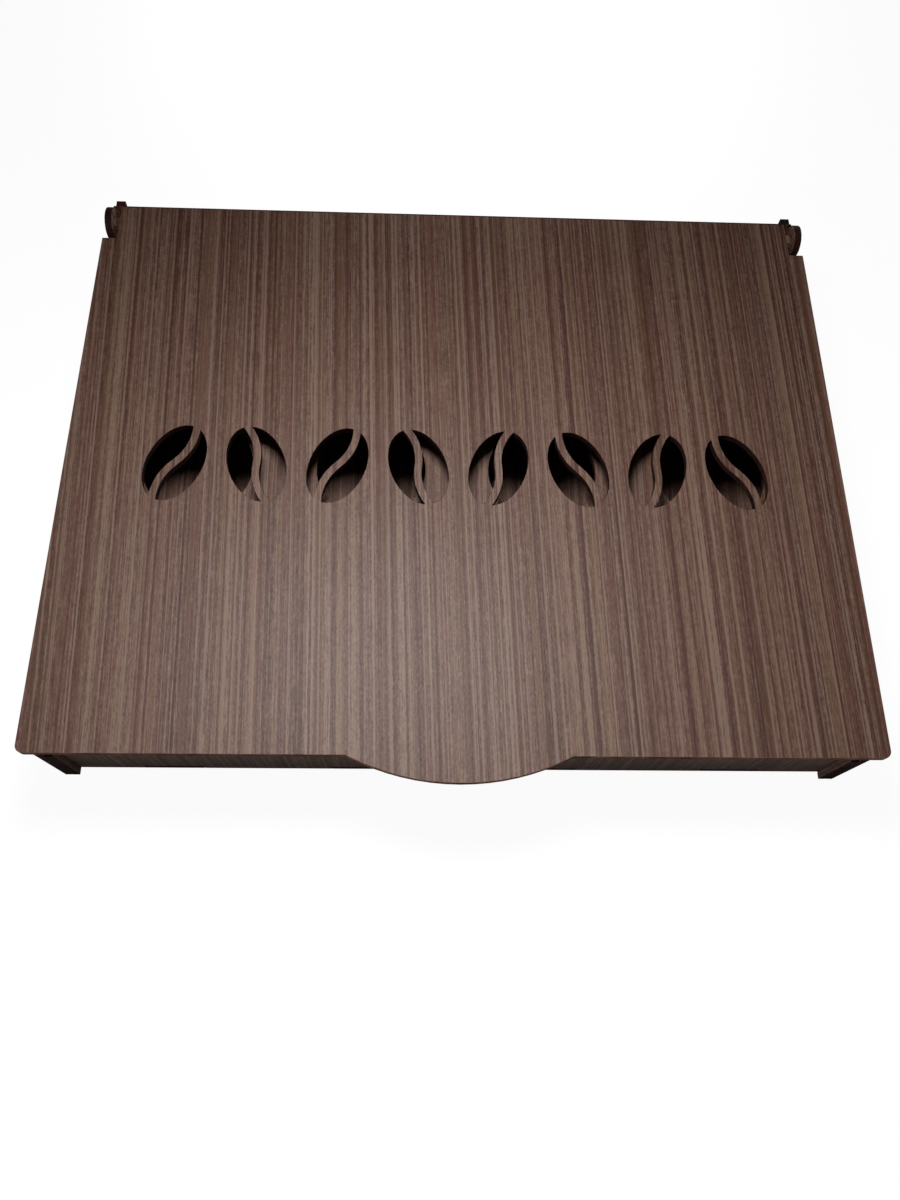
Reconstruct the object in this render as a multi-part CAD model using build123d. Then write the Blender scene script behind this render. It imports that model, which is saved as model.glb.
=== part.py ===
from build123d import *
import math
import os

# A flat box for coffee capsules, cut from one thickness of board. Two side walls, a front wall and a
# back wall stand round a floor, a tray with round seats lies on two inner panels, and a lid turns on
# two tabs of its own in ears on the side walls.
# Millimetres. X runs across the box, Y from front to back, Z up. The origin is the middle of the
# outer box of the closed object, on the surface that it stands on.

# Board and lid
sheet = 3.0
lid_width = 320.0
lid_depth = 253.0
lid_corner_radius = 3.0
closed_height = 50.0

# Thumb lip, an arc that stands out of the lid's front edge
lip_half_width = 41.5
lip_reach = 10.0

# Body under the lid
side_overhang = 1.5
front_overhang = 2.5
wall_setback = 3.0

# Hinge: a tab at each rear corner of the lid, in an ear of the side wall
pivot_inset = 8.5
tab_width = 4.6
tab_end_gap = 0.2
notch_width = 6.5
notch_length = 18.0
ear_radius = 7.0
pivot_gap = 0.1
swing_gap = 0.4
rear_step = 8.0

# Raised ends of the back wall, which stop the open lid
stop_inset = 2.3
stop_width = 4.0
stop_height = 3.0

# Tray and its round seats
tray_depth = 14.0
seat_diameter = 46.0
seat_pitch = 73.0
seat_edge = 10.0

# Tenons and the clearance of each one in its mortise
fit_gap = 0.1
tenon_height = 14.0
finger_length = 24.0
finger_spacing = 70.0
tray_tenon_length = 30.0
tray_tenon_spacing = 90.0

# Pierced bean motif on the lid
bean_length = 36.0
bean_width = 23.0
bean_pitch = 33.0
bean_tilt = 20.0
bean_bridge = 3.2
bean_bend = 2.6
bean_side_margin = 24.0
bean_row_inset = 120.0

# Heights
lid_under = closed_height - sheet
pivot_z = closed_height - sheet / 2
tray_top = closed_height - tray_depth
tray_under = tray_top - sheet
tenon_z = (sheet + tray_under) / 2

# Places across the box, each for the right-hand side
lid_half = lid_width / 2
wall_outer = lid_half - side_overhang
wall_inner = wall_outer - sheet
panel_inner = wall_inner - sheet
notch_inner = lid_half - notch_width

# Places from front to back, with the whole depth centred on the origin
swing_radius = math.hypot(pivot_inset, sheet / 2)
pivot_to_back = swing_radius + swing_gap
rear_reach = lid_depth - pivot_inset + pivot_to_back + sheet + wall_setback
lid_front = (lip_reach - rear_reach) / 2
lid_rear = lid_front + lid_depth
pivot_y = lid_rear - pivot_inset
wall_front = lid_front + front_overhang
front_outer = wall_front + wall_setback
front_inner = front_outer + sheet
back_inner = pivot_y + pivot_to_back
back_outer = back_inner + sheet
wall_rear = back_outer + wall_setback
bay_middle = (front_inner + back_inner) / 2


def block(x, y, z):
    """A box between two places along each axis."""
    middle = Pos((x[0] + x[1]) / 2, (y[0] + y[1]) / 2, (z[0] + z[1]) / 2)
    return middle * Box(x[1] - x[0], y[1] - y[0], z[1] - z[0])


def about(middle, length, gap=0.0):
    """The two ends of a length round its middle, with a gap added at each."""
    return (middle - length / 2 - gap, middle + length / 2 + gap)


def spread(length, spacing):
    """Middles of evenly spread copies along a length, about one for each spacing."""
    count = max(1, round(length / spacing))
    step = length / count
    return [step * (i + 0.5) - length / 2 for i in range(count)]


def on_side(side, inner, outer):
    """A range across the box, on the left for side -1 and on the right for side 1."""
    return tuple(sorted((side * inner, side * outer)))


side_fingers = [bay_middle + offset for offset in spread(back_inner - front_inner, finger_spacing)]
end_fingers = spread(2 * panel_inner, finger_spacing)
tray_tenons = [bay_middle + offset for offset in spread(back_inner - front_inner, tray_tenon_spacing)]


def side_wall(side):
    """An outer side with its hinge ear, and a mortise for each piece that reaches it."""
    across = on_side(side, wall_inner, wall_outer)
    wall = block(across, (wall_front, wall_rear), (0, lid_under))
    wall -= block(across, (pivot_y, wall_rear), (lid_under - rear_step, lid_under))
    wall += block(across, (pivot_y, pivot_y + ear_radius), (lid_under - rear_step, pivot_z))
    centre = Pos(side * (wall_inner + wall_outer) / 2, pivot_y, pivot_z) * Rot(0, 90, 0)
    wall += centre * Cylinder(ear_radius, sheet)
    hole_radius = math.hypot(tab_width, sheet) / 2 + pivot_gap
    wall -= centre * Cylinder(hole_radius, sheet)
    for end in (front_outer, back_inner):
        wall -= block(across, (end - fit_gap, end + sheet + fit_gap), about(tenon_z, tenon_height, fit_gap))
    for y in side_fingers:
        wall -= block(across, about(y, finger_length, fit_gap), (0, sheet + fit_gap))
    for y in tray_tenons:
        wall -= block(across, about(y, tray_tenon_length, fit_gap), (tray_under - fit_gap, tray_top + fit_gap))
    return wall


def inner_panel(side):
    """A lower board against the inside of a side wall. The tray lies on its top edge."""
    across = on_side(side, panel_inner, wall_inner)
    panel = block(across, (wall_front, back_inner - fit_gap), (0, tray_under))
    panel -= block(across, (front_outer - fit_gap, front_inner + fit_gap), about(tenon_z, tenon_height, fit_gap))
    for y in side_fingers:
        panel -= block(across, about(y, finger_length, fit_gap), (0, sheet + fit_gap))
    return panel


def end_wall(y, lower_half, upper_half):
    """A front or back wall: two widths, one tenon at each end, and notches for the floor."""
    wall = block((-lower_half, lower_half), y, (0, tray_under))
    wall += block((-upper_half, upper_half), y, (tray_under + fit_gap, lid_under))
    wall += block((-lower_half, lower_half), y, (tray_under, tray_under + fit_gap))
    wall += block((-wall_outer, wall_outer), y, about(tenon_z, tenon_height))
    for x in end_fingers:
        wall -= block(about(x, finger_length, fit_gap), y, (0, sheet + fit_gap))
    return wall


def front_wall():
    """Stands between the inner panels, and widens above them to reach the side walls."""
    return end_wall((front_outer, front_inner), panel_inner - fit_gap, wall_inner - fit_gap)


def back_wall():
    """Stands between the side walls and laps over their rear steps. Its two ends rise to stop the open lid."""
    half = wall_inner - fit_gap
    y = (back_inner, back_outer)
    wall = end_wall(y, half, half)
    wall += block((-wall_outer, wall_outer), y, (lid_under - rear_step + fit_gap, lid_under))
    for side in (-1, 1):
        stop_outer = wall_outer - stop_inset
        across = on_side(side, stop_outer - stop_width, stop_outer)
        wall += block(across, y, (lid_under, lid_under + stop_height))
    return wall


def floor_panel():
    """Lies between the walls, with fingers through all four of them."""
    half = panel_inner - fit_gap
    floor = block((-half, half), (front_inner + fit_gap, back_inner - fit_gap), (0, sheet))
    for y in side_fingers:
        floor += block((-wall_outer, wall_outer), about(y, finger_length), (0, sheet))
    for x in end_fingers:
        floor += block(about(x, finger_length), (front_outer, back_outer), (0, sheet))
    return floor


def seat_places(room):
    """Middles of as many seats as fit a length, centred on zero."""
    count = 1 + max(0, math.floor((room - seat_diameter - 2 * seat_edge) / seat_pitch))
    return [seat_pitch * (i - (count - 1) / 2) for i in range(count)]


def capsule_tray():
    """A plate of round seats, in which a capsule hangs by its rim."""
    half = wall_inner - fit_gap
    tray = block((-half, half), (front_inner + fit_gap, back_inner - fit_gap), (tray_under, tray_top))
    for y in tray_tenons:
        tray += block((-wall_outer, wall_outer), about(y, tray_tenon_length), (tray_under, tray_top))
    row_middle = (lid_front + lid_rear) / 2
    for x in seat_places(2 * half):
        for y in seat_places(back_inner - front_inner):
            tray -= Pos(x, row_middle + y, tray_top - sheet / 2) * Cylinder(seat_diameter / 2, sheet)
    return tray


def bean(x, tilt):
    """An upright oval cut in two by an S-shaped bridge, turned by a tilt in degrees."""
    reach = bean_length / 2 + bean_bridge
    low = ThreePointArc((0, -reach), (bean_bend, -reach / 2), (0, 0))
    high = ThreePointArc((0, 0), (-bean_bend, reach / 2), (0, reach))
    halves = Ellipse(bean_width / 2, bean_length / 2) - trace(Curve() + [low, high], bean_bridge)
    place = Pos(x, lid_front + bean_row_inset, lid_under) * Rot(0, 0, tilt)
    return place * extrude(halves, sheet)


def lid():
    """The flat lid with its thumb lip, rear notches, hinge tabs and pierced motif."""
    plate = block((-lid_half, lid_half), (lid_front, lid_rear), (lid_under, closed_height))
    corners = plate.edges().filter_by(Axis.Z).group_by(Axis.Y)[0]
    plate = fillet(corners, lid_corner_radius)
    lip_radius = (lip_half_width**2 + lip_reach**2) / (2 * lip_reach)
    disc = Pos(0, lid_front - lip_reach + lip_radius, pivot_z) * Cylinder(lip_radius, sheet)
    front_strip = block((-lip_half_width, lip_half_width), (lid_front - lip_reach, lid_front + sheet),
                        (lid_under, closed_height))
    plate += disc & front_strip
    for side in (-1, 1):
        notch = on_side(side, notch_inner, lid_half)
        plate -= block(notch, (lid_rear - notch_length, lid_rear), (lid_under, closed_height))
        tab = on_side(side, notch_inner - sheet, wall_outer - tab_end_gap)
        plate += block(tab, about(pivot_y, tab_width), (lid_under, closed_height))
    pairs = max(1, math.floor((lid_half - bean_side_margin) / bean_pitch))
    for i in range(pairs):
        tilt = bean_tilt if i % 2 else -bean_tilt
        right = bean(bean_pitch * (i + 0.5), tilt)
        plate -= right
        plate -= mirror(right, Plane.YZ)
    return plate


parts = {
    "lid": lid(),
    "side_wall_left": side_wall(-1),
    "side_wall_right": side_wall(1),
    "inner_panel_left": inner_panel(-1),
    "inner_panel_right": inner_panel(1),
    "front_wall": front_wall(),
    "back_wall": back_wall(),
    "floor_panel": floor_panel(),
    "capsule_tray": capsule_tray(),
}

os.makedirs("parts", exist_ok=True)
for name, shape in parts.items():
    export_step(shape, f"parts/{name}.step")
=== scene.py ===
import math
import bmesh
import bpy
from mathutils import Matrix, Vector


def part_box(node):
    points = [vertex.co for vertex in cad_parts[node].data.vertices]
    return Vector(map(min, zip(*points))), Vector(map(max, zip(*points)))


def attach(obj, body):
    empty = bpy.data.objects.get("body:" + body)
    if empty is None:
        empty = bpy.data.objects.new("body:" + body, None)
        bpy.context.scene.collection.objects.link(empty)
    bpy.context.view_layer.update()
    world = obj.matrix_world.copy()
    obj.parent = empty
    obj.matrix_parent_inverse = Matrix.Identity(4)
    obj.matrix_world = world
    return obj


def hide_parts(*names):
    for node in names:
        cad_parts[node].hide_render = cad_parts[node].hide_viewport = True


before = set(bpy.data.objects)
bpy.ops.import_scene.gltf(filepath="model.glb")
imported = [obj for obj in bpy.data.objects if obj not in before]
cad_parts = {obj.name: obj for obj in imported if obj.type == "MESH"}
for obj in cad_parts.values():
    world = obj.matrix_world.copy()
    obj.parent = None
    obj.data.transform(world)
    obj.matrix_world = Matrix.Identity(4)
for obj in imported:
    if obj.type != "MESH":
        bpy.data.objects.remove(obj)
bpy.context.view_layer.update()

# A flat box for coffee capsules, laser-cut from one thickness of striped board.
# Each board takes its shape from its CAD node, and gets eased edges, decor faces and burnt or sanded cuts.

mm = 0.001
white = (1, 1, 1, 1)


def linear(hexColour):
    # sRGB hex to the linear colour that the shaders take
    parts = [int(hexColour[i:i + 2], 16) / 255 for i in (1, 3, 5)]
    return tuple(p / 12.92 if p <= 0.04045 else ((p + 0.055) / 1.055) ** 2.4 for p in parts) + (1.0,)


def addNode(tree, kind, inputs=None, stops=None, **settings):
    # inputs: a socket's name or number, and the value or the output socket that feeds it
    # stops: places and colours of a colour ramp
    node = tree.nodes.new(kind)
    for name, value in settings.items():
        setattr(node, name, value)
    for socket, value in (inputs or {}).items():
        if isinstance(value, bpy.types.NodeSocket):
            tree.links.new(value, node.inputs[socket])
        else:
            node.inputs[socket].default_value = value
    if stops:
        elements = node.color_ramp.elements
        while len(elements) > 1:
            elements.remove(elements[-1])
        elements[0].position, elements[0].color = stops[0]
        for position, colour in stops[1:]:
            elements.new(position).color = colour
    return node


def newMaterial(name):
    material = bpy.data.materials.new(name)
    material.use_nodes = True
    material.node_tree.nodes.clear()
    return material, material.node_tree


# Printed decor. across and along: mm across the grain and along it, the size of a noise. shift: how far it
# is moved, so that no two line up. An ink starts where its noise passes level, and has its depth at full
decor = {
    "dark": "#542c1c",              # the ink's dark is redder than its light
    "middle": "#765548",
    "light": "#987b6a",
    "layers": [                     # mm across the grain, mm along it, detail, how much it moves the tone
        (30, 2500, 0, 0.25),        # slow drift from one side of the board to the other
        (9, 1600, 1, 0.9),          # bands that the eye counts
        (2.6, 900, 1, 1.5),         # reeds within a band
        (0.9, 400, 1, 1.35),        # hairlines
        (0.45, 14, 1, 1.1),         # fibres of the printed paper
        (0.7, 1.6, 0, 0.5),         # its speckle
        (2.0, 3.5, 0, 0.35),        # cloudiness
    ],
    "layerShift": 17,               # from one layer to the next
    "tints": [                      # some reeds lean to these
        {"colour": "#8a6746", "depth": 0.34, "across": 4.2, "along": 900, "shift": 93,
         "level": 0.42, "full": 0.7},
        {"colour": "#80483f", "depth": 0.2, "across": 6, "along": 1100, "shift": 116,
         "level": 0.45, "full": 0.7},
    ],
    "lines": [                      # thin lines that run from edge to edge
        {"ink": "light", "depth": 0.75, "across": 1.3, "along": 1500, "shift": 141, "level": 0.62},
        {"ink": "dark", "depth": 0.62, "across": 1.5, "along": 1200, "shift": 170, "level": 0.61},
    ],
    "lineSoftness": 0.1,            # from the level of a line to where it has its depth
    "fineShare": 0.6,               # how strong each finer step of a noise is beside the one before
    "fan": -0.00015,                # how much closer the reeds get in a mm along the board: they part a little
    "roughness": 0.57,
    "ior": 1.66,                    # melamine resin
    "skin": (0.8, 1.6),             # mm, the paper's texture in the resin skin
    "skinDetail": 2,                # finer steps in it
    "skinShift": 60,
    "skinBump": 0.08,               # mm
    "skinSwing": 0.09,              # how far the texture moves the roughness
}


def stripedMelamine(name, turn, place):
    # Melamine-faced fibreboard: a paper printed with thin reeds, pressed under a satin resin skin.
    # The eye gets straight fine stripes in close browns, a dull wide sheen and a faint paper mottle.
    d = decor
    material, tree = newMaterial(name)
    coords = addNode(tree, "ShaderNodeTexCoord")
    board = addNode(tree, "ShaderNodeMapping", {"Vector": coords.outputs["Object"], "Rotation": turn,
                                                "Scale": (1 / mm,) * 3})
    ways = addNode(tree, "ShaderNodeSeparateXYZ", {0: board.outputs[0]})
    parting = addNode(tree, "ShaderNodeMath", {0: ways.outputs["Y"], 1: d["fan"], 2: 1.0},
                      operation="MULTIPLY_ADD")
    widened = addNode(tree, "ShaderNodeMath", {0: ways.outputs["X"], 1: parting.outputs[0]},
                      operation="MULTIPLY")
    fanned = addNode(tree, "ShaderNodeCombineXYZ", {"X": widened.outputs[0], "Y": ways.outputs["Y"]})
    stock = addNode(tree, "ShaderNodeVectorMath", {0: fanned.outputs[0], 1: place}, operation="ADD")

    def grain(across, along, detail, shift):
        # noise stretched along the grain
        spot = addNode(tree, "ShaderNodeVectorMath", {0: stock.outputs[0], 1: (1 / across, 1 / along, 0)},
                       operation="MULTIPLY")
        moved = addNode(tree, "ShaderNodeVectorMath", {0: spot.outputs[0], 1: (shift, shift, 0)},
                        operation="ADD")
        noise = addNode(tree, "ShaderNodeTexNoise", {"Vector": moved.outputs[0], "Scale": 1.0,
                                                     "Detail": detail, "Roughness": d["fineShare"]},
                        noise_dimensions="2D")
        return noise.outputs["Fac"]

    def lean(ink, colour, mask, level, full, depth):
        # from one ink towards a colour, by the whole depth where the mask is full
        share = addNode(tree, "ShaderNodeMapRange", {"Value": mask, "From Min": level, "From Max": full,
                                                     "To Max": depth})
        mixed = addNode(tree, "ShaderNodeMix", {"Factor": share.outputs[0], 6: ink, 7: linear(colour)},
                        data_type="RGBA")       # sockets 6 and 7 take its colours, and output 2 gives the mix
        return mixed.outputs[2]

    tone = 0.5                      # 0 is the dark ink, 0.5 the middle one, 1 the light one
    for number, (across, along, detail, weight) in enumerate(d["layers"]):
        noise = grain(across, along, detail, d["layerShift"] * number)
        part = addNode(tree, "ShaderNodeMath", {0: noise, 1: weight, 2: -weight / 2},
                       operation="MULTIPLY_ADD")
        tone = addNode(tree, "ShaderNodeMath", {0: part.outputs[0], 1: tone}, operation="ADD").outputs[0]
    ink = addNode(tree, "ShaderNodeValToRGB", {"Fac": tone}, stops=[
        (0.0, linear(d["dark"])), (0.5, linear(d["middle"])), (1.0, linear(d["light"]))]).outputs[0]
    for tint in d["tints"]:
        mask = grain(tint["across"], tint["along"], 1, tint["shift"])
        ink = lean(ink, tint["colour"], mask, tint["level"], tint["full"], tint["depth"])
    for line in d["lines"]:
        mask = grain(line["across"], line["along"], 0, line["shift"])
        full = line["level"] + d["lineSoftness"]
        ink = lean(ink, d[line["ink"]], mask, line["level"], full, line["depth"])

    skin = grain(*d["skin"], d["skinDetail"], d["skinShift"])
    satin = addNode(tree, "ShaderNodeMapRange", {"Value": skin, "To Min": d["roughness"] - d["skinSwing"],
                                                 "To Max": d["roughness"] + d["skinSwing"]})
    bump = addNode(tree, "ShaderNodeBump", {"Height": skin, "Strength": 1.0, "Distance": d["skinBump"] * mm})
    shader = addNode(tree, "ShaderNodeBsdfPrincipled", {"Base Color": ink, "Roughness": satin.outputs[0],
                                                        "Normal": bump.outputs[0], "IOR": d["ior"]})
    addNode(tree, "ShaderNodeOutputMaterial", {"Surface": shader.outputs[0]})
    return material


# Laser-cut edges
cut = {
    "charred": ("#1d0d0b", "#54302a"),      # the darkest and the lightest of it
    "sanded": ("#6c473b", "#ba907e"),
    "spread": (0.12, 0.42),         # what the two noises multiply to where it is darkest and lightest
    "striation": 0.4,               # mm between the beam's marks, drawn a little coarse so that they show
    "cloud": 9.0,                   # mm, where the beam slowed or sped up
    "detail": 2,                    # finer steps in each noise
    "bump": 0.04,                   # mm, how deep the marks are
    "bumpShare": 0.6,               # how much of that depth shows
    "roughness": 0.92,
    "ior": 1.33,                    # char is porous, so little of it shines
}


def scorchedFibreboard(name, darkest, lightest):
    # The laser scorches the fibreboard's edge: a dull deep brown with fine marks, darker where the beam
    # slowed. Sanding takes the char off, and leaves the board's own warm brown.
    c = cut
    material, tree = newMaterial(name)
    spot = addNode(tree, "ShaderNodeTexCoord").outputs["Object"]
    marks = addNode(tree, "ShaderNodeTexNoise", {"Vector": spot, "Scale": 1 / (c["striation"] * mm),
                                                 "Detail": c["detail"]})
    cloud = addNode(tree, "ShaderNodeTexNoise", {"Vector": spot, "Scale": 1 / (c["cloud"] * mm),
                                                 "Detail": c["detail"]})
    both = addNode(tree, "ShaderNodeMath", {0: marks.outputs["Fac"], 1: cloud.outputs["Fac"]},
                   operation="MULTIPLY")
    low, high = c["spread"]
    colour = addNode(tree, "ShaderNodeValToRGB", {"Fac": both.outputs[0]}, stops=[
        (low, linear(darkest)), (high, linear(lightest))])
    bump = addNode(tree, "ShaderNodeBump", {"Height": marks.outputs["Fac"], "Strength": c["bumpShare"],
                                            "Distance": c["bump"] * mm})
    shader = addNode(tree, "ShaderNodeBsdfPrincipled", {"Base Color": colour.outputs[0],
                                                        "Normal": bump.outputs[0],
                                                        "Roughness": c["roughness"], "IOR": c["ior"]})
    addNode(tree, "ShaderNodeOutputMaterial", {"Surface": shader.outputs[0]})
    return material


# Boards. thin: the axis that the board is thin along. turn in radians and place in mm: how its decor lies on
# the sheet of stock. sanded: how many mm in from its sides and its ends a cut is sanded, not left charred
flat = (0, 0, math.radians(-1.8))
straight = (0, 0, 0)
frontUpright = (math.radians(-90), 0, 0)
sideUpright = (math.radians(90), math.radians(90), 0)

boards = {
    "lid": {"thin": 2, "slot": "lid_board", "turn": flat, "place": (0, 0, 0), "sanded": (5, 60)},
    "capsule_tray": {"thin": 2, "slot": "tray_board", "turn": straight, "place": (411, 60, 0)},
    "floor_panel": {"thin": 2, "slot": "wall_board", "turn": straight, "place": (-620, 0, 0)},
    "front_wall": {"thin": 1, "slot": "wall_board", "turn": frontUpright, "place": (905, 0, 0)},
    "back_wall": {"thin": 1, "slot": "wall_board", "turn": frontUpright, "place": (1310, 0, 0)},
    "side_wall_left": {"thin": 0, "slot": "wall_board", "turn": sideUpright, "place": (1702, 0, 0)},
    "side_wall_right": {"thin": 0, "slot": "wall_board", "turn": sideUpright, "place": (2150, 0, 0)},
    "inner_panel_left": {"thin": 0, "slot": "wall_board", "turn": sideUpright, "place": (2490, 0, 0)},
    "inner_panel_right": {"thin": 0, "slot": "wall_board", "turn": sideUpright, "place": (2860, 0, 0)},
}

edge = {
    "merge": 0.001,                 # mm, corners nearer than this are one
    "level": 0.5,                   # degrees, triangles that differ by less are one face
    "ease": 0.15,                   # mm, how far the sharp edges are eased
    "segments": 2,
    "crease": 25,                   # degrees, sharper corners of a cut stay sharp
    "faceTilt": 0.99,               # least share of a normal along the thin axis, for one of the two faces
    "cutTilt": 0.1,                 # most share of it for a cut, which is shaded smooth round its curves
}
decorSlot, charredSlot, sandedSlot = range(3)


def isFace(face, thin):
    return abs(face.normal[thin]) > edge["faceTilt"]


def easeEdges(shape, thin):
    # merges the node's loose triangles, and eases the outlines of the board's two faces
    bmesh.ops.remove_doubles(shape, verts=shape.verts, dist=edge["merge"] * mm)
    bmesh.ops.dissolve_limit(shape, angle_limit=math.radians(edge["level"]), verts=shape.verts,
                             edges=shape.edges)
    outlines = [e for e in shape.edges if len(e.link_faces) == 2 and
                sum(isFace(f, thin) for f in e.link_faces) == 1]
    bmesh.ops.bevel(shape, geom=outlines, offset=edge["ease"] * mm, offset_type="OFFSET", affect="EDGES",
                    segments=edge["segments"], profile=0.5, material=-1, clamp_overlap=True)


def finishFaces(shape, name, thin, sanded):
    low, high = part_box(name)
    for f in shape.faces:
        centre = f.calc_center_median()
        outer = sanded and any(min(centre[i] - low[i], high[i] - centre[i]) < sanded[i] * mm for i in (0, 1))
        f.material_index = decorSlot if isFace(f, thin) else sandedSlot if outer else charredSlot
        f.smooth = abs(f.normal[thin]) < edge["cutTilt"]
    for e in shape.edges:
        e.smooth = e.calc_face_angle(0) < math.radians(edge["crease"])


def makeBoard(name, thin, slot, turn, place, sanded=None):
    board = bpy.data.objects.new(name + "_board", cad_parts[name].data.copy())
    bpy.context.scene.collection.objects.link(board)
    board.data.materials.clear()
    for finish in (stripedMelamine("melamine_" + name, turn, place), charredEdge, sandedEdge):
        board.data.materials.append(finish)
    shape = bmesh.new()
    shape.from_mesh(board.data)
    easeEdges(shape, thin)
    finishFaces(shape, name, thin, sanded)
    shape.to_mesh(board.data)
    shape.free()
    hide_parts(name)
    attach(board, "lid" if name == "lid" else "body")


charredEdge = scorchedFibreboard("charred_edge", *cut["charred"])
sandedEdge = scorchedFibreboard("sanded_edge", *cut["sanded"])
for name, settings in boards.items():
    makeBoard(name, **settings)
print("boards made")


# Camera: the photograph's view, found from the lid's corners
view = {
    "place": (-16.7, -201.8, 391.0),    # mm
    "yaw": 5.43,                        # degrees, turned about the upright axis
    "down": 67.87,                      # degrees below level
    "roll": 5.749,                      # degrees, about the line of sight
    "lens": 19.0,                       # mm, as is the sensor
    "sensorHeight": 24.0,
    "nearest": 10.0,                    # mm, what is nearer isn't drawn
}


def addCamera():
    camera = bpy.data.objects.new("camera", bpy.data.cameras.new("camera"))
    camera.data.sensor_fit = "VERTICAL"
    camera.data.sensor_height = view["sensorHeight"]
    camera.data.lens = view["lens"]
    camera.data.clip_start = view["nearest"] * mm
    turns = Matrix.Rotation(-math.radians(view["yaw"]), 4, "Z")
    turns = turns @ Matrix.Rotation(math.radians(90 - view["down"]), 4, "X")
    turns = turns @ Matrix.Rotation(math.radians(view["roll"]), 4, "Z")
    camera.matrix_world = Matrix.Translation(Vector(view["place"]) * mm) @ turns
    bpy.context.scene.collection.objects.link(camera)
    bpy.context.scene.camera = camera


addCamera()
print("camera made")

# Lamps. Places and sizes are mm, and spread is degrees. strength: how bright a white card renders where the
# lamp aims, where 1 is white, and a narrow spread makes it brighter still
lamps = {
    "overhead": {"place": (-41, 4, 380), "aim": (36, -350, 50), "size": 140, "strength": 0.448},
    "left": {"place": (-1300, -130, 25), "aim": (-160, 0, 25), "size": 50, "strength": 0.3},
    "right": {"place": (1300, 130, 25), "aim": (160, 0, 25), "size": 50, "strength": 0.3},
    "back": {"place": (130, 1300, 25), "aim": (0, 130, 25), "size": 50, "strength": 0.3},
    "behind": {"place": (0, 360, 480), "aim": (0, 360, 100), "size": 160, "strength": 0.17, "spread": 50},
}


def addLamp(name, place, aim, size, strength, spread=180):
    lamp = bpy.data.objects.new(name, bpy.data.lights.new(name, "AREA"))
    lamp.data.shape = "DISK"
    lamp.data.size = size * mm
    lamp.data.spread = math.radians(spread)
    reach = (Vector(aim) - Vector(place)) * mm
    lamp.data.energy = strength * math.pi ** 2 * reach.length_squared
    lamp.location = Vector(place) * mm
    lamp.rotation_euler = reach.to_track_quat("-Z", "Y").to_euler()
    lamp.visible_camera = False
    bpy.context.scene.collection.objects.link(lamp)


for name, settings in lamps.items():
    addLamp(name, **settings)
print("lamps made")

# The white surroundings: a paper floor and the room round it
surroundings = {
    "size": 3.0,                # m, the floor
    "cameraWhite": 0.95,        # what the surroundings add of themselves towards the camera
    "shade": 0.15,              # how much of the light and shadow on the floor the camera sees
    "glossShare": 0.1,          # how much of that white reflections find, as the box shades the paper near it
    "colour": "#e4e2df",        # the floor as the boards see it
    "roomLight": 0.03,          # what the room adds to the lamps
}


def whiteRays(tree):
    # rays that find the floor white: the camera's, and a share of the reflections
    rays = addNode(tree, "ShaderNodeLightPath")
    seen = addNode(tree, "ShaderNodeMath", {0: rays.outputs["Is Glossy Ray"], 1: surroundings["glossShare"],
                                            2: rays.outputs["Is Camera Ray"]}, operation="MULTIPLY_ADD")
    return seen.outputs[0]


def addFloor():
    shape = bmesh.new()
    bmesh.ops.create_grid(shape, x_segments=1, y_segments=1, size=surroundings["size"] / 2)
    mesh = bpy.data.meshes.new("floor")
    shape.to_mesh(mesh)
    shape.free()
    floor = bpy.data.objects.new("floor", mesh)
    bpy.context.scene.collection.objects.link(floor)
    material, tree = newMaterial("floor_paper")
    glow = addNode(tree, "ShaderNodeEmission", {"Color": white, "Strength": surroundings["cameraWhite"]})
    shaded = addNode(tree, "ShaderNodeBsdfDiffuse", {"Color": (surroundings["shade"],) * 3 + (1,)})
    backdrop = addNode(tree, "ShaderNodeAddShader", {0: glow.outputs[0], 1: shaded.outputs[0]})
    paper = addNode(tree, "ShaderNodeBsdfDiffuse", {"Color": linear(surroundings["colour"])})
    mixed = addNode(tree, "ShaderNodeMixShader", {0: whiteRays(tree), 1: paper.outputs[0],
                                                  2: backdrop.outputs[0]})
    addNode(tree, "ShaderNodeOutputMaterial", {"Surface": mixed.outputs[0]})
    mesh.materials.append(material)


def addRoom():
    world = bpy.data.worlds.new("room")
    world.use_nodes = True
    tree = world.node_tree
    tree.nodes.clear()
    rays = addNode(tree, "ShaderNodeLightPath")
    strength = addNode(tree, "ShaderNodeMapRange", {"Value": rays.outputs["Is Camera Ray"],
                                                    "To Min": surroundings["roomLight"],
                                                    "To Max": surroundings["cameraWhite"]})
    room = addNode(tree, "ShaderNodeBackground", {"Color": white, "Strength": strength.outputs[0]})
    addNode(tree, "ShaderNodeOutputWorld", {"Surface": room.outputs[0]})
    bpy.context.scene.world = world


addFloor()
addRoom()
print("floor and room made")

bpy.context.scene.view_settings.view_transform = "Standard"
